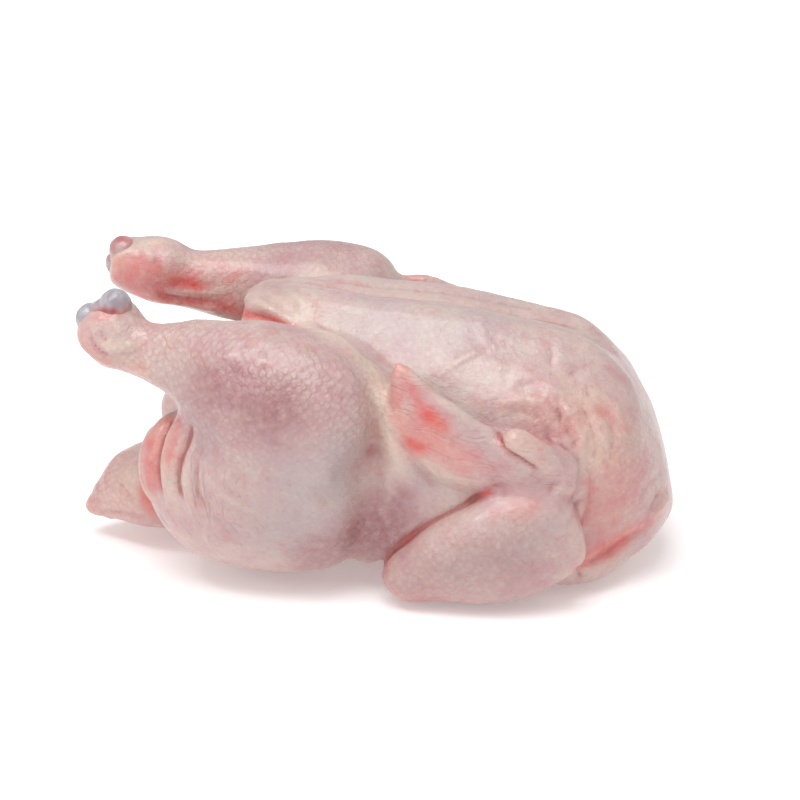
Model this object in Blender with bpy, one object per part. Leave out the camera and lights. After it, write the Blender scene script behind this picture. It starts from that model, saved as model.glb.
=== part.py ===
"""A whole raw chicken lying on its back, breast up.

One solid holds the skin-covered bird: trunk, breast, both legs, both wings and the tail.
The two gristle-capped bone ends that show where the shanks were cut off are solids of their own.
Units are metres, +Z up. +X runs towards the neck, -Y is the side that shows its folded wing in front.
"""

import bpy
import bmesh
import numpy as np

MM = 0.001

# How fine the skin is worked, and how many triangles the finished bird keeps.
FUSE_STEP = 2.0 * MM
SKIN_TRIANGLES = 9600
FLOOR_LEVEL = 0.0

# The gristle-capped shank ends, each seated in its leg with this much room all round.
BONE_STEP = 0.9 * MM
BONE_TRIANGLES = 500
BONE_GAP = 0.4 * MM

# The trunk from vent to neck, in millimetres: place along X, breast line, back line,
# half width, and the height of the widest place.
TRUNK_ALONG = (-58.5, -54.5, -45, -25, 0, 32, 60, 83, 104, 117, 126, 131)
TRUNK_TOP = (105, 116.5, 119.5, 118, 115.5, 111.5, 106, 100.5, 90.5, 74, 51, 34)
TRUNK_BOTTOM = (60, 30, 10, 2, -2, -2, -2, -1, 3, 9, 16, 24)
TRUNK_HALF_WIDTH = (12, 22, 32, 43, 50, 57, 60, 59, 52, 41, 27, 10)
TRUNK_LEVEL = (84, 77, 68, 62, 58, 56, 55, 52, 46, 40, 34, 28)
BREAST_FULLNESS = 2.35
BACK_FULLNESS = 2.7
LOBE_HEIGHT = 6.0
LOBE_OFFSET = 20.0
LOBE_SPREAD = 11.0


def smooth_through(knots, values, at):
    """Cubic Hermite curve through the values at the knots, each slope averaged from its neighbours."""
    k = np.asarray(knots, float)
    v = np.asarray(values, float).reshape(len(k), -1)
    step = np.diff(k)[:, None]
    rise = np.diff(v, axis=0) / step
    slope = np.empty_like(v)
    slope[0], slope[-1] = rise[0], rise[-1]
    slope[1:-1] = (rise[1:] * step[:-1] + rise[:-1] * step[1:]) / (step[:-1] + step[1:])
    i = np.clip(np.searchsorted(k, at, side="right") - 1, 0, len(k) - 2)
    h = step[i]
    s = ((np.asarray(at, float) - k[i]) / h[:, 0])[:, None]
    return (
        (2 * s**3 - 3 * s**2 + 1) * v[i]
        + (s**3 - 2 * s**2 + s) * h * slope[i]
        + (3 * s**2 - 2 * s**3) * v[i + 1]
        + (s**3 - s**2) * h * slope[i + 1]
    )


def signed_power(value, power):
    return np.sign(value) * np.abs(value) ** power


def trunk_surface(rings=90, around=96):
    """Superellipse rings along X, fuller below than above, with the two breast lobes raised either side of the keel."""
    s = np.linspace(0, 1, rings)
    knots = np.linspace(0, 1, len(TRUNK_ALONG))
    along, top, bottom, half, level = (
        smooth_through(knots, row, s)
        for row in (TRUNK_ALONG, TRUNK_TOP, TRUNK_BOTTOM, TRUNK_HALF_WIDTH, TRUNK_LEVEL)
    )
    turn = np.linspace(0, 2 * np.pi, around, endpoint=False)[None, :]
    power = np.where(np.sin(turn) > 0, 2 / BREAST_FULLNESS, 2 / BACK_FULLNESS)
    across = signed_power(np.cos(turn), power)
    rise = signed_power(np.sin(turn), power)
    y = half * across
    z = level + np.where(rise > 0, top - level, level - bottom) * rise
    strength = np.interp(along, (-50, -10, 90, 115), (0.5, 1, 1, 0))
    z = z + (rise > 0) * LOBE_HEIGHT * strength * np.exp(-(((np.abs(y) - LOBE_OFFSET) / LOBE_SPREAD) ** 2))
    return np.stack([np.broadcast_to(along, y.shape), y, z], -1)


def limb_surface(path, side, up, down=None, caps=(0.12, 0.12), across=(0, 1, 0), rings=50, around=48):
    """Elliptical rings carried along a smooth path: side is the half size along across, up and down the half sizes
    above and below the path, and caps the share of the length over which each end rounds off."""
    path = np.asarray(path, float)
    run = np.r_[0, np.cumsum(np.linalg.norm(np.diff(path, axis=0), axis=1))]
    run /= run[-1]
    t = (1 - np.cos(np.linspace(0, np.pi, rings))) / 2
    centre = smooth_through(run, path, t)
    forward = np.gradient(centre, t, axis=0)
    forward /= np.linalg.norm(forward, axis=1)[:, None]
    wide = np.asarray(across, float)
    wide = wide - (forward @ wide)[:, None] * forward
    wide /= np.linalg.norm(wide, axis=1)[:, None]
    above = np.cross(forward, wide)
    above *= np.sign(above[:, 2].sum())
    side, up, down = (smooth_through(run, row, t) for row in (side, up, up if down is None else down))
    round_off = np.ones(rings)
    for share, far in zip(caps, (t, 1 - t)):
        round_off *= np.sqrt(np.clip(1 - np.clip(1 - far / share, 0, 1) ** 2, 0, 1))
    turn = np.linspace(0, 2 * np.pi, around, endpoint=False)[None, :]
    out = side * np.cos(turn) * round_off[:, None]
    rise = np.where(np.sin(turn) > 0, up, down) * np.sin(turn) * round_off[:, None]
    return centre[:, None] + out[..., None] * wide[:, None] + rise[..., None] * above[:, None]


def mirrored(surface):
    """The same surface on the other side of the bird."""
    return surface * np.array([1, -1, 1])


def leg_surfaces():
    """Drumsticks and thighs. The two legs are folded a little differently, as a real bird's are."""
    drum_near = limb_surface(
        [(-121, -41, 106.5), (-113, -41, 108.5), (-105, -42, 108), (-96, -43, 105), (-86, -45, 102), (-72, -47, 98.5),
         (-50, -52, 89.5), (-24, -56, 80), (3, -54, 72)],
        side=[10, 13, 13.5, 11, 12, 17.5, 27, 30, 26],
        up=[8, 13.5, 15.5, 9, 12.5, 19, 30.5, 34.5, 29],
        down=[7, 12.5, 14, 13, 13, 19, 30.5, 34.5, 29],
        caps=(0.05, 0.2),
    )
    drum_far = limb_surface(
        [(-125, 42, 119.5), (-115, 42, 115.5), (-102, 42, 113), (-90, 43, 109), (-79, 45, 107.5), (-66, 48, 106.5),
         (-46, 52, 103.5), (-20, 56, 97.5), (8, 56, 88)],
        side=[12, 14, 14.5, 12, 14, 17.5, 23, 28, 24],
        up=[10.5, 13.2, 15.4, 13.5, 14.5, 17.5, 22.5, 26.5, 25],
        caps=(0.03, 0.2),
    )
    thigh = limb_surface(
        [(-97, -34, 46), (-76, -42, 46), (-48, -50, 50), (-22, -50, 54), (4, -46, 60)],
        side=[18, 24, 28, 28, 24],
        up=[22, 34, 42, 44, 36],
        caps=(0.35, 0.3),
    )
    flank = limb_surface(
        [(-100, -22, 45), (-90, -26, 48), (-74, -32, 48)],
        side=[9, 13, 18],
        up=[9, 17.5, 24],
        down=[14, 23, 26],
        caps=(0.25, 0.2),
    )
    web = limb_surface(
        [(-50, -15, 117), (-38, -22, 108), (-16, -37, 103.5), (-3, -45, 98), (6, -52, 90), (10, -56, 78),
         (15, -56, 63), (24, -56, 51), (38, -57, 42)],
        side=[3, 6, 7, 7, 8, 9, 10, 10, 8],
        up=[3, 5, 5.5, 6, 7, 7.5, 8, 8, 7],
    )
    web_root = limb_surface(
        [(9, -50, 76), (12, -54, 60), (10, -55, 43), (3, -52, 26), (-4, -48, 12)],
        side=[8, 10.5, 11, 10, 8],
        up=[7, 12, 13, 11, 8],
        caps=(0.2, 0.2),
    )
    lobes = [
        limb_surface([(-77, -40, 76), (-86, -47, 67), (-90, -50, 57), (-88, -53, 45), (-80, -57, 35)],
                     side=[4, 7, 8, 7, 5], up=[4, 6, 6.5, 6.5, 5], caps=(0.2, 0.25)),
        limb_surface([(-70, -55, 80), (-78, -57, 70), (-81, -59, 58), (-79, -62, 47), (-72, -65, 38)],
                     side=[4, 6, 6.5, 6, 4], up=[3.5, 5, 5.5, 5, 4], caps=(0.2, 0.25)),
    ]
    both = [thigh, flank, web, web_root, *lobes]
    return [drum_near, drum_far, *both, *(mirrored(surface) for surface in both)]


def wing_surfaces(side):
    """A wing folded in three: upper arm and forearm down the flank, the hand back up across it, and the thumb.
    The far wing (side +1) lies a little higher than the near one (side -1)."""
    arm = limb_surface(
        [(7, -64, 12), (32, -68, 21), (60, -69, 32), (85, -62, 45)],
        side=[9, 13, 14, 12],
        up=[9, 15, 21, 21],
        down=[11, 19, 26, 25],
    )
    if side < 0:
        hand_line = [(86, -62, 57), (63, -65, 65), (38, -66, 71), (24, -65, 82), (17, -63, 95), (12.5, -61, 107)]
    else:
        hand_line = [(86, -62, 57), (64, -64, 68), (44, -65, 78), (29, -64, 89.5), (16, -62, 101), (5, -60, 108.5)]
    hand = limb_surface(
        hand_line,
        side=[9, 8, 6.5, 5, 4.2, 3],
        up=[11, 12, 14, 14, 8.5, 3.5],
        down=[14, 14, 16.5, 12.5, 7, 3.5],
    )
    thumb = limb_surface(
        [(80, -64, 58), (69, -71, 71.5), (56, -72, 79)],
        side=[7, 6, 5],
        up=[6, 7.5, 5.5],
    )
    shoulder = limb_surface(
        [(64, -50, 18), (87, -44, 17), (104, -28, 17)],
        side=[14, 14, 12],
        up=[14, 14, 12],
        caps=(0.2, 0.2),
    )
    armpit = limb_surface(
        [(0, -53.5, 22), (14, -57, 34), (30, -58.5, 44), (50, -59.5, 52)],
        side=[8, 8, 8.5, 9],
        up=[9, 15, 14, 10],
        down=[12, 16, 16, 14],
        caps=(0.25, 0.25),
    )
    whole = [arm, hand, thumb, shoulder, armpit]
    return whole if side < 0 else [mirrored(surface) for surface in whole]


def tail_and_neck_surfaces():
    tail = limb_surface(
        [(-133, 0, 13), (-125, 0, 15.5), (-117, 0, 18), (-108, 0, 21), (-84, 0, 26), (-46, 0, 28)],
        side=[5, 10, 16, 22, 28, 34],
        up=[3.5, 8.5, 15.5, 20, 20, 20],
        down=[3, 6, 9.5, 14, 20, 24],
        caps=(0.06, 0.1),
    )
    neck_fold = limb_surface(
        [(112, -30, 24), (122, -12, 26), (122, 12, 26), (112, 30, 24)],
        side=[6, 8.5, 8.5, 6],
        up=[8, 11, 11, 8],
        across=(1, 0, 0),
    )
    return [tail, neck_fold]


def bird_surfaces():
    """Every rounded form of the bird, as grids of points in millimetres."""
    return [trunk_surface(), *leg_surfaces(), *wing_surfaces(-1), *wing_surfaces(1), *tail_and_neck_surfaces()]


def body_hollow():
    """The drawn bird's hollow, open between the legs under the tip of the breastbone."""
    return limb_surface(
        [(-100, 0, 74), (-62, 0, 70), (-30, 0, 57), (20, 0, 48), (72, 0, 44)],
        side=[23, 21, 29, 32, 20],
        up=[18, 17, 24, 26, 17],
        caps=(0.01, 0.3),
    )


def knuckle_surfaces(side):
    """The two gristle-capped rollers of a shank's end and the bone behind them: side -1 near, +1 far."""
    if side < 0:
        upper, lower, base = (-104.5, -44.5, 122.2), (-115.2, -42, 115.4), (-88, -45, 102)
        sizes = (6.6, 6.6, 5)
    else:
        upper, lower, base = (-118.5, 38.5, 123.8), (-122, 44, 115.5), (-96, 43, 112)
        sizes = (6.6, 6, 5)
    upper, lower, base = (np.array(p, float) for p in (upper, lower, base))
    balls = [
        limb_surface([p - (size, 0, 0), p, p + (size, 0, 0)], [size] * 3, [size] * 3, caps=(0.5, 0.5), rings=24)
        for p, size in ((upper, sizes[0]), (lower, sizes[1]))
    ]
    middle = (upper + lower) / 2
    bridge = limb_surface([lower, middle, upper], [sizes[1] * 0.8] * 3, [sizes[1] * 0.8] * 3, caps=(0.3, 0.3))
    shaft = limb_surface([middle, (middle + base) / 2, base], [sizes[2]] * 3, [sizes[2]] * 3)
    return [*balls, bridge, shaft]


def closed_faces(rings, around):
    """Quads between neighbouring rings, and a fan to one pole point at each end."""
    r, a = np.meshgrid(np.arange(rings - 1), np.arange(around), indexing="ij")
    b = (a + 1) % around
    quads = np.stack([r * around + a, r * around + b, (r + 1) * around + b, (r + 1) * around + a], -1)
    first, last = rings * around, rings * around + 1
    a = np.arange(around)
    b = (a + 1) % around
    start = np.stack([b, a, np.full(around, first)], -1)
    end = np.stack([(rings - 1) * around + a, (rings - 1) * around + b, np.full(around, last)], -1)
    return quads.reshape(-1, 4).tolist() + start.tolist() + end.tolist()


def joined_mesh(name, surfaces):
    """One mesh that holds every surface, each closed by pole points at the middle of its first and last ring."""
    points, faces = [], []
    for surface in surfaces:
        rings, around = surface.shape[:2]
        offset = sum(len(p) for p in points)
        poles = [surface[0].mean(0), surface[-1].mean(0)]
        points.append(np.concatenate([surface.reshape(-1, 3), poles]))
        faces += [[i + offset for i in face] for face in closed_faces(rings, around)]
    mesh = bpy.data.meshes.new(name)
    mesh.from_pydata((np.concatenate(points) * MM).tolist(), [], faces)
    work = bmesh.new()
    work.from_mesh(mesh)
    bmesh.ops.recalc_face_normals(work, faces=work.faces)
    work.to_mesh(mesh)
    work.free()
    return mesh


def placed(name, mesh):
    made = bpy.data.objects.new(name, mesh)
    bpy.context.scene.collection.objects.link(made)
    return made


def with_modifier(obj, kind, **settings):
    """Applies one modifier to the object's mesh."""
    modifier = obj.modifiers.new(kind, kind)
    for key, value in settings.items():
        setattr(modifier, key, value)
    graph = bpy.context.evaluated_depsgraph_get()
    mesh = bpy.data.meshes.new_from_object(obj.evaluated_get(graph))
    obj.modifiers.clear()
    obj.data = mesh
    return obj


def mesh_points(mesh):
    points = np.empty(len(mesh.vertices) * 3, np.float32)
    mesh.vertices.foreach_get("co", points)
    return points.reshape(-1, 3).astype(float)


def mesh_normals(mesh):
    normals = np.empty(len(mesh.vertices) * 3, np.float32)
    mesh.vertices.foreach_get("normal", normals)
    return normals.reshape(-1, 3).astype(float)


def mesh_edges(mesh):
    edges = np.empty(len(mesh.edges) * 2, np.int32)
    mesh.edges.foreach_get("vertices", edges)
    return edges.reshape(-1, 2)


def set_points(mesh, points):
    mesh.vertices.foreach_set("co", points.astype(np.float32).ravel())
    mesh.update()


def neighbour_mean(points, edges):
    """The mean of each point's neighbours along the edges."""
    total = np.zeros_like(points)
    for axis in range(3):
        total[:, axis] = np.bincount(edges[:, 0], points[edges[:, 1], axis], len(points)) + np.bincount(
            edges[:, 1], points[edges[:, 0], axis], len(points)
        )
    count = np.bincount(edges.ravel(), minlength=len(points))
    return total / np.maximum(count, 1)[:, None]


def fill_creases(mesh, rounds, strength):
    """Rounds hollow places only: a point moves towards its neighbours' mean where that mean lies outside the skin."""
    edges = mesh_edges(mesh)
    for _ in range(rounds):
        points, normals = mesh_points(mesh), mesh_normals(mesh)
        pull = neighbour_mean(points, edges) - points
        hollow = np.clip((pull * normals).sum(1), 0, None)
        set_points(mesh, points + strength * hollow[:, None] * normals)


def smooth(mesh, rounds, strength):
    edges = mesh_edges(mesh)
    points = mesh_points(mesh)
    for _ in range(rounds):
        points = points + strength * (neighbour_mean(points, edges) - points)
    set_points(mesh, points)


def cut_away(body, cutter):
    """Cuts one closed mesh out of another, and removes the cutter."""
    with_modifier(body, "BOOLEAN", operation="DIFFERENCE", solver="EXACT", object=cutter)
    bpy.data.objects.remove(cutter)


def build_skin():
    """The fused bird with its hollow, at working fineness and in millimetre layout about the modelling origin."""
    skin = placed("chicken", joined_mesh("chicken", bird_surfaces()))
    with_modifier(skin, "REMESH", mode="VOXEL", voxel_size=FUSE_STEP)
    smooth(skin.data, 2, 0.5)
    fill_creases(skin.data, 12, 0.6)
    cut_away(skin, placed("hollow_cutter", joined_mesh("hollow_cutter", [body_hollow()])))
    with_modifier(skin, "REMESH", mode="VOXEL", voxel_size=FUSE_STEP)
    smooth(skin.data, 3, 0.5)
    return skin


def skin_material(name, colour, roughness):
    material = bpy.data.materials.new(name)
    material.use_nodes = True
    shader = material.node_tree.nodes["Principled BSDF"]
    shader.inputs["Base Color"].default_value = (*colour, 1.0)
    shader.inputs["Roughness"].default_value = roughness
    shader.inputs["Metallic"].default_value = 0.0
    return material


def dress(obj, material):
    obj.data.materials.clear()
    obj.data.materials.append(material)
    obj.data.shade_smooth()


def thin_out(obj, triangles):
    """Brings the mesh down to about this many triangles."""
    faces = sum(len(face.vertices) - 2 for face in obj.data.polygons)
    with_modifier(obj, "DECIMATE", ratio=min(1.0, triangles / faces), use_collapse_triangulate=True)


def flatten_underside(obj, height):
    """Cuts off what lies below this height and closes the cut, which leaves the small flats the bird rests on."""
    work = bmesh.new()
    work.from_mesh(obj.data)
    every = work.verts[:] + work.edges[:] + work.faces[:]
    cut = bmesh.ops.bisect_plane(
        work, geom=every, dist=1e-7, plane_co=(0, 0, height), plane_no=(0, 0, -1), clear_outer=True
    )
    rim = [part for part in cut["geom_cut"] if isinstance(part, bmesh.types.BMEdge)]
    bmesh.ops.holes_fill(work, edges=rim)
    bmesh.ops.triangulate(work, faces=work.faces)
    work.to_mesh(obj.data)
    work.free()


def build_knuckle(name, side):
    knuckle = placed(name, joined_mesh(name, knuckle_surfaces(side)))
    with_modifier(knuckle, "REMESH", mode="VOXEL", voxel_size=BONE_STEP)
    smooth(knuckle.data, 2, 0.5)
    fill_creases(knuckle.data, 4, 0.5)
    thin_out(knuckle, BONE_TRIANGLES)
    return knuckle


def seat(knuckle, skin):
    """Cuts the bone's socket out of the leg, wider than the bone by the gap all round."""
    cutter = placed("socket_cutter", knuckle.data.copy())
    with_modifier(cutter, "DISPLACE", mid_level=0.0, strength=BONE_GAP)
    cut_away(skin, cutter)


def main():
    for old in list(bpy.data.objects):
        bpy.data.objects.remove(old)
    skin = build_skin()
    thin_out(skin, SKIN_TRIANGLES)
    flatten_underside(skin, FLOOR_LEVEL)
    knuckles = [build_knuckle("shank_end_near", -1), build_knuckle("shank_end_far", 1)]
    for knuckle in knuckles:
        seat(knuckle, skin)
    points = mesh_points(skin.data)
    ends = np.concatenate([points, *(mesh_points(knuckle.data) for knuckle in knuckles)])
    middle = (ends.min(0) + ends.max(0)) / 2
    for obj in (skin, *knuckles):
        set_points(obj.data, mesh_points(obj.data) - (middle[0], middle[1], ends.min(0)[2]))
    dress(skin, skin_material("raw_skin", (0.80, 0.56, 0.50), 0.42))
    for knuckle in knuckles:
        dress(knuckle, skin_material("gristle", (0.66, 0.68, 0.72), 0.25))


if __name__ == "__main__":
    main()
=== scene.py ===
"""The look of a whole raw chicken lying on its back: damp pale skin with feather pits and folds, flushed wings and
legs, and gristle at the shank ends. The bird's forms have the named sizes that the solid model was made from, fused
at a finer step, and its folds are worked into the mesh. Lengths in the tables are millimetres."""

import math

import bmesh
import bpy
import numpy as np
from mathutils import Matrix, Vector


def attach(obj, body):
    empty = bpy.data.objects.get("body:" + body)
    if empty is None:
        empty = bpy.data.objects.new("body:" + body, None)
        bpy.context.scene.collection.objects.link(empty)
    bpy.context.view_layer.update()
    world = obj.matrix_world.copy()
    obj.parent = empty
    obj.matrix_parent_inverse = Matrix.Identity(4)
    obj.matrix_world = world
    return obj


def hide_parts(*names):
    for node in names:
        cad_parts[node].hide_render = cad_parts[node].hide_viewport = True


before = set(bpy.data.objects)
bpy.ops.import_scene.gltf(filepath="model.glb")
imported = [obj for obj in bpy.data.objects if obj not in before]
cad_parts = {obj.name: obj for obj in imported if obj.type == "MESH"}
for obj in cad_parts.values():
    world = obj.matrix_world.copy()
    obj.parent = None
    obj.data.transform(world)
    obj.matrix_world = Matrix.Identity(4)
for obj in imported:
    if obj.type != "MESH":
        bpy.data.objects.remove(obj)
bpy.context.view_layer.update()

MM = 0.001

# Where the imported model's middle lies in the layout that the tables below are written in.
LAYOUT_MIDDLE = np.array([-0.024, -0.992, 0.0])

# How finely the skin and the gristle are fused.
SKIN_STEP = 1.54 * MM
GRISTLE_STEP = 0.55 * MM

# The trunk from vent to neck: place along X, breast line, back line, half width, and the height of the widest place,
# the fullness of its rings, and the breast's two lobes.
TRUNK_ALONG = (-58.5, -54.5, -45, -25, 0, 32, 60, 83, 104, 117, 126, 131)
TRUNK_TOP = (105, 116.5, 119.5, 118, 115.5, 111.5, 106, 100.5, 90.5, 74, 51, 34)
TRUNK_BOTTOM = (60, 30, 10, 2, -2, -2, -2, -1, 3, 9, 16, 24)
TRUNK_HALF_WIDTH = (12, 22, 32, 43, 50, 57, 60, 59, 52, 41, 27, 10)
TRUNK_LEVEL = (84, 77, 68, 62, 58, 56, 55, 52, 46, 40, 34, 28)
BREAST_FULLNESS = 2.35
BACK_FULLNESS = 2.7
LOBE_HEIGHT = 6.0
LOBE_OFFSET = 20.0
LOBE_SPREAD = 11.0
LOBE_ALONG, LOBE_STRENGTH = (-50, -10, 90, 115), (0.5, 1, 1, 0)


def smooth_through(knots, values, at):
    """Cubic Hermite curve through the values at the knots, each slope averaged from its neighbours."""
    k = np.asarray(knots, float)
    v = np.asarray(values, float).reshape(len(k), -1)
    step = np.diff(k)[:, None]
    rise = np.diff(v, axis=0) / step
    slope = np.empty_like(v)
    slope[0], slope[-1] = rise[0], rise[-1]
    slope[1:-1] = (rise[1:] * step[:-1] + rise[:-1] * step[1:]) / (step[:-1] + step[1:])
    i = np.clip(np.searchsorted(k, at, side="right") - 1, 0, len(k) - 2)
    h = step[i]
    s = ((np.asarray(at, float) - k[i]) / h[:, 0])[:, None]
    return (
        (2 * s**3 - 3 * s**2 + 1) * v[i]
        + (s**3 - 2 * s**2 + s) * h * slope[i]
        + (3 * s**2 - 2 * s**3) * v[i + 1]
        + (s**3 - s**2) * h * slope[i + 1]
    )


def signed_power(value, power):
    """The value's size raised to the power, with its sign kept."""
    return np.sign(value) * np.abs(value) ** power


def trunk_surface(rings=90, around=96):
    """Superellipse rings along X, fuller below than above, with the two breast lobes raised beside the keel."""
    s = np.linspace(0, 1, rings)
    knots = np.linspace(0, 1, len(TRUNK_ALONG))
    along, top, bottom, half, level = (
        smooth_through(knots, row, s)
        for row in (TRUNK_ALONG, TRUNK_TOP, TRUNK_BOTTOM, TRUNK_HALF_WIDTH, TRUNK_LEVEL)
    )
    turn = np.linspace(0, 2 * np.pi, around, endpoint=False)[None, :]
    power = np.where(np.sin(turn) > 0, 2 / BREAST_FULLNESS, 2 / BACK_FULLNESS)
    across = signed_power(np.cos(turn), power)
    rise = signed_power(np.sin(turn), power)
    y = half * across
    z = level + np.where(rise > 0, top - level, level - bottom) * rise
    strength = np.interp(along, LOBE_ALONG, LOBE_STRENGTH)
    z = z + (rise > 0) * LOBE_HEIGHT * strength * np.exp(-(((np.abs(y) - LOBE_OFFSET) / LOBE_SPREAD) ** 2))
    return np.stack([np.broadcast_to(along, y.shape), y, z], -1)


def limb_surface(path, side, up, down=None, caps=(0.12, 0.12), across=(0, 1, 0), rings=50, around=48):
    """Elliptical rings carried along a smooth path: side is the half size along across, up and down the half sizes
    above and below the path, and caps the share of the length over which each end rounds off."""
    path = np.asarray(path, float)
    run = np.r_[0, np.cumsum(np.linalg.norm(np.diff(path, axis=0), axis=1))]
    run /= run[-1]
    t = (1 - np.cos(np.linspace(0, np.pi, rings))) / 2
    centre = smooth_through(run, path, t)
    forward = np.gradient(centre, t, axis=0)
    forward /= np.linalg.norm(forward, axis=1)[:, None]
    wide = np.asarray(across, float)
    wide = wide - (forward @ wide)[:, None] * forward
    wide /= np.linalg.norm(wide, axis=1)[:, None]
    above = np.cross(forward, wide)
    above *= np.sign(above[:, 2].sum())
    side, up, down = (smooth_through(run, row, t) for row in (side, up, up if down is None else down))
    round_off = np.ones(rings)
    for share, far in zip(caps, (t, 1 - t)):
        round_off *= np.sqrt(np.clip(1 - np.clip(1 - far / share, 0, 1) ** 2, 0, 1))
    turn = np.linspace(0, 2 * np.pi, around, endpoint=False)[None, :]
    out = side * np.cos(turn) * round_off[:, None]
    rise = np.where(np.sin(turn) > 0, up, down) * np.sin(turn) * round_off[:, None]
    return centre[:, None] + out[..., None] * wide[:, None] + rise[..., None] * above[:, None]


def mirrored(surface):
    """The same surface on the other side of the bird."""
    return surface * np.array([1, -1, 1])


def leg_surfaces():
    """Drumsticks and thighs. The two legs are folded a little differently, as a real bird's are."""
    drum_near = limb_surface(
        [(-121, -41, 106.5), (-113, -41, 108.5), (-105, -42, 108), (-96, -43, 105), (-86, -45, 102), (-72, -47, 98.5),
         (-50, -52, 89.5), (-24, -56, 80), (3, -54, 72)],
        side=[10, 13, 13.5, 11, 12, 17.5, 27, 30, 26], up=[8, 13.5, 15.5, 9, 12.5, 19, 30.5, 34.5, 29],
        down=[7, 12.5, 14, 13, 13, 19, 30.5, 34.5, 29], caps=(0.05, 0.2),
    )
    drum_far = limb_surface(
        [(-125, 42, 119.5), (-115, 42, 115.5), (-102, 42, 113), (-90, 43, 109), (-79, 45, 107.5), (-66, 48, 106.5),
         (-46, 52, 103.5), (-20, 56, 97.5), (8, 56, 88)],
        side=[12, 14, 14.5, 12, 14, 17.5, 23, 28, 24], up=[10.5, 13.2, 15.4, 13.5, 14.5, 17.5, 22.5, 26.5, 25],
        caps=(0.03, 0.2),
    )
    thigh = limb_surface(
        [(-97, -34, 46), (-76, -42, 46), (-48, -50, 50), (-22, -50, 54), (4, -46, 60)],
        side=[18, 24, 28, 28, 24], up=[22, 34, 42, 44, 36], caps=(0.35, 0.3),
    )
    flank = limb_surface(
        [(-100, -22, 45), (-90, -26, 48), (-74, -32, 48)],
        side=[9, 13, 18], up=[9, 17.5, 24], down=[14, 23, 26], caps=(0.25, 0.2),
    )
    web = limb_surface(
        [(-50, -15, 117), (-38, -22, 108), (-16, -37, 103.5), (-3, -45, 98), (6, -52, 90), (10, -56, 78),
         (15, -56, 63), (24, -56, 51), (38, -57, 42)],
        side=[3, 6, 7, 7, 8, 9, 10, 10, 8], up=[3, 5, 5.5, 6, 7, 7.5, 8, 8, 7],
    )
    web_root = limb_surface(
        [(9, -50, 76), (12, -54, 60), (10, -55, 43), (3, -52, 26), (-4, -48, 12)],
        side=[8, 10.5, 11, 10, 8], up=[7, 12, 13, 11, 8], caps=(0.2, 0.2),
    )
    lobes = [
        limb_surface([(-77, -40, 76), (-86, -47, 67), (-90, -50, 57), (-88, -53, 45), (-80, -57, 35)],
                     side=[4, 7, 8, 7, 5], up=[4, 6, 6.5, 6.5, 5], caps=(0.2, 0.25)),
        limb_surface([(-70, -55, 80), (-78, -57, 70), (-81, -59, 58), (-79, -62, 47), (-72, -65, 38)],
                     side=[4, 6, 6.5, 6, 4], up=[3.5, 5, 5.5, 5, 4], caps=(0.2, 0.25)),
    ]
    both = [thigh, flank, web, web_root, *lobes]
    return [drum_near, drum_far, *both, *(mirrored(surface) for surface in both)]


def wing_surfaces(side):
    """A wing folded in three: upper arm and forearm down the flank, the hand back up across it, and the thumb.
    The far wing (side +1) lies a little higher than the near one (side -1)."""
    arm = limb_surface(
        [(7, -64, 12), (32, -68, 21), (60, -69, 32), (85, -62, 45)],
        side=[9, 13, 14, 12], up=[9, 15, 21, 21], down=[11, 19, 26, 25],
    )
    if side < 0:
        hand_line = [(86, -62, 57), (63, -65, 65), (38, -66, 71), (24, -65, 82), (17, -63, 95), (12.5, -61, 107)]
    else:
        hand_line = [(86, -62, 57), (64, -64, 68), (44, -65, 78), (29, -64, 89.5), (16, -62, 101), (5, -60, 108.5)]
    hand = limb_surface(
        hand_line,
        side=[9, 8, 6.5, 5, 4.2, 3], up=[11, 12, 14, 14, 8.5, 3.5], down=[14, 14, 16.5, 12.5, 7, 3.5],
    )
    thumb = limb_surface(
        [(80, -64, 58), (69, -71, 71.5), (56, -72, 79)],
        side=[7, 6, 5], up=[6, 7.5, 5.5],
    )
    shoulder = limb_surface(
        [(64, -50, 18), (87, -44, 17), (104, -28, 17)],
        side=[14, 14, 12], up=[14, 14, 12], caps=(0.2, 0.2),
    )
    armpit = limb_surface(
        [(0, -53.5, 22), (14, -57, 34), (30, -58.5, 44), (50, -59.5, 52)],
        side=[8, 8, 8.5, 9], up=[9, 15, 14, 10], down=[12, 16, 16, 14], caps=(0.25, 0.25),
    )
    whole = [arm, hand, thumb, shoulder, armpit]
    return whole if side < 0 else [mirrored(surface) for surface in whole]


def tail_and_neck_surfaces():
    tail = limb_surface(
        [(-133, 0, 13), (-125, 0, 15.5), (-117, 0, 18), (-108, 0, 21), (-84, 0, 26), (-46, 0, 28)],
        side=[5, 10, 16, 22, 28, 34], up=[3.5, 8.5, 15.5, 20, 20, 20], down=[3, 6, 9.5, 14, 20, 24],
        caps=(0.06, 0.1),
    )
    neck_fold = limb_surface(
        [(112, -30, 24), (122, -12, 26), (122, 12, 26), (112, 30, 24)],
        side=[6, 8.5, 8.5, 6], up=[8, 11, 11, 8], across=(1, 0, 0),
    )
    return [tail, neck_fold]


def bird_surfaces():
    """Every rounded form of the bird, as grids of points in millimetres."""
    return [trunk_surface(), *leg_surfaces(), *wing_surfaces(-1), *wing_surfaces(1), *tail_and_neck_surfaces()]


def body_hollow():
    """The drawn bird's hollow, open between the legs under the tip of the breastbone."""
    return limb_surface(
        [(-100, 0, 74), (-62, 0, 70), (-30, 0, 57), (20, 0, 48), (72, 0, 44)],
        side=[23, 21, 29, 32, 20], up=[18, 17, 24, 26, 17], caps=(0.01, 0.3),
    )


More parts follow.
